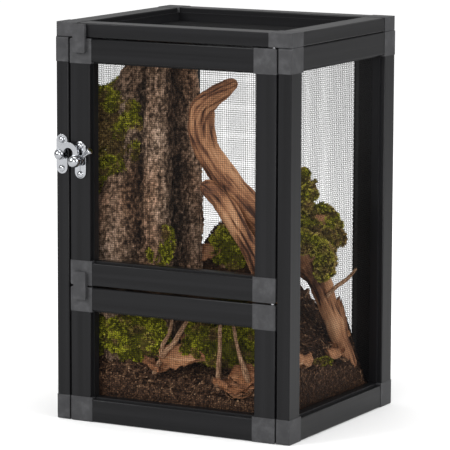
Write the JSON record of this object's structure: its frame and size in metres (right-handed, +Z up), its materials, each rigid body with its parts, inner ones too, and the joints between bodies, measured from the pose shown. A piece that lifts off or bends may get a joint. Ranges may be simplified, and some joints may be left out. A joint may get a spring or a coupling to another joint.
{
  "type": "reptile terrarium",
  "caption": "Small upright screen terrarium: framed mesh panels on corner connectors, a hinged front door with a swing latch, planted with bark, driftwood and moss.",
  "frame": {"origin": "middle of the footprint, on the surface that the terrarium stands on", "axes": "+X to the right of the door seen from the front, +Y to the back, +Z up"},
  "size_m": [0.2, 0.1894, 0.305],
  "materials": {
    "profile": "black anodised extruded profile, semi-gloss",
    "connector": "dark grey moulded, lightly textured",
    "mesh": "black coated woven wire, shown as a fine sheet",
    "spline": "black round spline",
    "board": "black board",
    "pins": "plain steel pin",
    "latch": "polished plating",
    "soil": "damp loose substrate",
    "bark": "rough fluted bark",
    "driftwood": "grooved red-brown driftwood",
    "moss": "dry cushion moss",
    "leaf": "dry leaf",
    "twig": "thin bare twig"
  },
  "bodies": {
    "enclosure": {"left_bottom_rail": "profile", "left_top_rail": "profile", "left_rear_stile": "profile", "left_front_stile": "profile", "right_bottom_rail": "profile", "right_top_rail": "profile", "right_front_stile": "profile", "right_rear_stile": "profile", "back_bottom_rail": "profile", "back_top_rail": "profile", "back_left_stile": "profile", "back_right_stile": "profile", "lid_front_rail": "profile", "lid_rear_rail": "profile", "lid_left_rail": "profile", "lid_right_rail": "profile", "lower_bottom_rail": "profile", "lower_top_rail": "profile", "lower_left_stile": "profile", "lower_right_stile": "profile", "left_corners": "connector", "left_mesh": "mesh", "left_spline": "spline", "right_corners": "connector", "right_mesh": "mesh", "right_spline": "spline", "back_corners": "connector", "back_mesh": "mesh", "back_spline": "spline", "lid_corners": "connector", "lid_mesh": "mesh", "lid_spline": "spline", "lower_corners": "connector", "lower_mesh": "mesh", "lower_spline": "spline", "floor_board": "board", "panel_dowels": "pins", "keeper_plate": "latch", "keeper_screws": "latch", "substrate": "soil", "trunk": "bark", "driftwood": "driftwood", "moss": "moss", "leaf_litter": "leaf", "twigs": "twig"},
    "door": {"door_bottom_rail": "profile", "door_top_rail": "profile", "door_left_stile": "profile", "door_right_stile": "profile", "door_corners": "connector", "door_mesh": "mesh", "door_spline": "spline", "hinge_pins": "pins", "door_stops": "connector", "latch_plate": "latch", "latch_screws": "latch", "latch_pivot": "latch"},
    "swing_arm": {"latch_arm": "latch"}
  },
  "joints": [
    {"name": "door_hinge", "type": "hinge", "parent": "enclosure", "child": "door", "pos_m": [0.0844, -0.0845, 0.2], "axis": [0, 0, 1], "range_deg": [0, 100]},
    {"name": "latch_swing", "type": "hinge", "parent": "door", "child": "swing_arm", "pos_m": [-0.0783, -0.091, 0.201], "axis": [0, 1, 0], "range_deg": [0, 80]}
  ]
}
